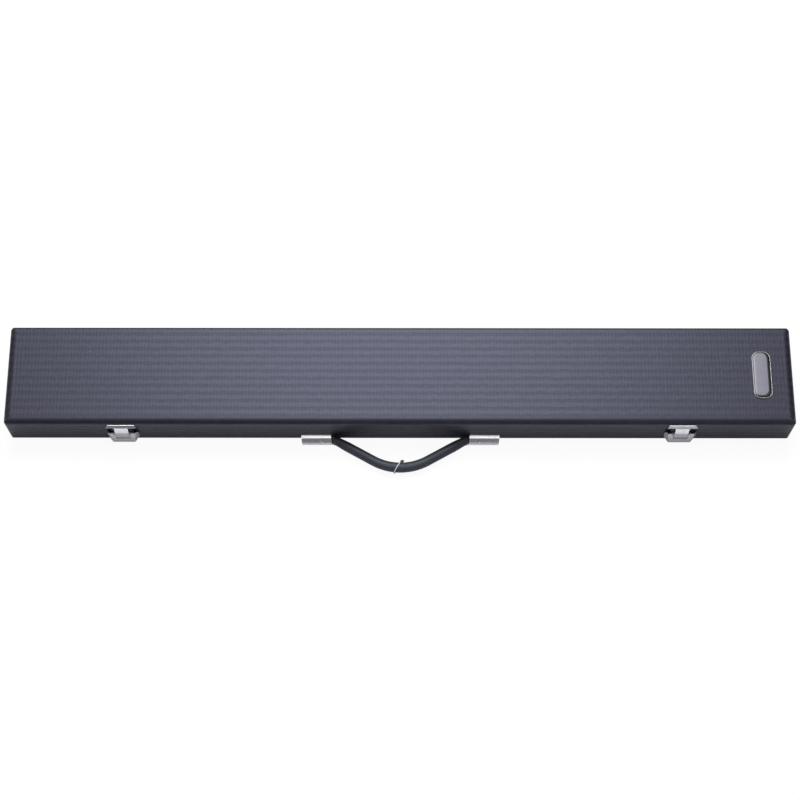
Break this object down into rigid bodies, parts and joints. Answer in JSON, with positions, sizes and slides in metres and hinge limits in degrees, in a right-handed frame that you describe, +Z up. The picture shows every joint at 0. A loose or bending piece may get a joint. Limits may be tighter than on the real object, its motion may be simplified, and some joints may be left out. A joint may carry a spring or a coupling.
{
  "type": "cue case",
  "caption": "Long slim hard case for a two-piece cue, vinyl-covered wood, with a hinged lid, draw latches and a swinging carrying handle.",
  "frame": {"origin": "centre of the underside, which lies on the table", "axes": "+X along the case to the badge end, -Y to the front with the latches and the handle, +Z up through the lid"},
  "size_m": [0.8, 0.1496, 0.0484],
  "materials": {
    "vinyl": "embossed black leathercloth",
    "wood": "raw plywood",
    "felt": "short felt",
    "pad_cloth": "plush cloth over foam",
    "foam": "flocked foam",
    "hinge_steel": "nickel-plated",
    "latch_chrome": "bright plated",
    "latch_steel": "dull steel",
    "bracket_steel": "brushed plate",
    "badge_rim": "polished",
    "badge_face": "domed resin, bare",
    "grip_plastic": "soft moulded",
    "tie_wire": "bare wire"
  },
  "bodies": {
    "base": {"base_bottom_panel": "wood", "base_front_wall": "wood", "base_back_wall": "wood", "base_left_end": "wood", "base_right_end": "wood", "base_cover_bottom": "vinyl", "base_cover_band": "vinyl", "base_lining": "felt", "cue_cradle_left": "foam", "cue_cradle_middle": "foam", "cue_cradle_right": "foam", "hinge_base_leaf_left": "hinge_steel", "hinge_base_leaf_middle": "hinge_steel", "hinge_base_leaf_right": "hinge_steel", "hinge_pin_left": "hinge_steel", "hinge_pin_middle": "hinge_steel", "hinge_pin_right": "hinge_steel", "hinge_base_rivets": "hinge_steel", "latch_plate_left": "latch_steel", "latch_plate_right": "latch_steel", "latch_pivot_pins": "latch_steel", "latch_plate_rivets": "latch_steel", "handle_bracket_left": "bracket_steel", "handle_bracket_right": "bracket_steel", "handle_rivets": "bracket_steel", "handle_washers": "bracket_steel"},
    "lid": {"lid_top_panel": "wood", "lid_front_wall": "wood", "lid_back_wall": "wood", "lid_left_end": "wood", "lid_right_end": "wood", "lid_cover": "vinyl", "lid_lining": "felt", "lid_pad": "pad_cloth", "badge_frame": "badge_rim", "badge_plate": "badge_face", "latch_keeper_left": "latch_chrome", "latch_keeper_right": "latch_chrome", "latch_keeper_rivets": "latch_steel", "hinge_lid_leaf_left": "hinge_steel", "hinge_lid_leaf_middle": "hinge_steel", "hinge_lid_leaf_right": "hinge_steel", "hinge_lid_rivets": "hinge_steel"},
    "left_lever": {"latch_lever_left": "latch_chrome", "latch_link_pin_left": "latch_steel"},
    "right_lever": {"latch_lever_right": "latch_chrome", "latch_link_pin_right": "latch_steel"},
    "left_hook": {"latch_hook_left": "latch_chrome"},
    "right_hook": {"latch_hook_right": "latch_chrome"},
    "handle": {"handle_grip": "grip_plastic", "handle_tie": "tie_wire"}
  },
  "joints": [
    {"name": "lid_hinge", "type": "hinge", "parent": "base", "child": "lid", "pos_m": [0, 0.0551, 0.0292], "axis": [-1, 0, 0], "range_deg": [0, 180]},
    {"name": "left_lever_swing", "type": "hinge", "parent": "base", "child": "left_lever", "pos_m": [-0.2822, -0.0558, 0.0255], "axis": [-1, 0, 0], "range_deg": [0, 90]},
    {"name": "left_hook_turn", "type": "hinge", "parent": "left_lever", "child": "left_hook", "pos_m": [-0.2822, -0.0557, 0.019], "axis": [-1, 0, 0], "range_deg": [-90, 0]},
    {"name": "right_lever_swing", "type": "hinge", "parent": "base", "child": "right_lever", "pos_m": [0.2858, -0.0558, 0.0255], "axis": [-1, 0, 0], "range_deg": [0, 90]},
    {"name": "right_hook_turn", "type": "hinge", "parent": "right_lever", "child": "right_hook", "pos_m": [0.2858, -0.0557, 0.019], "axis": [-1, 0, 0], "range_deg": [-90, 0]},
    {"name": "handle_swing", "type": "hinge", "parent": "base", "child": "handle", "pos_m": [0.0005, -0.0574, 0.0086], "axis": [-1, 0, 0], "range_deg": [0, 90]}
  ],
  "couplings": [
    {"joint": "left_hook_turn", "follows": "left_lever_swing", "ratio": -1},
    {"joint": "right_hook_turn", "follows": "right_lever_swing", "ratio": -1}
  ]
}
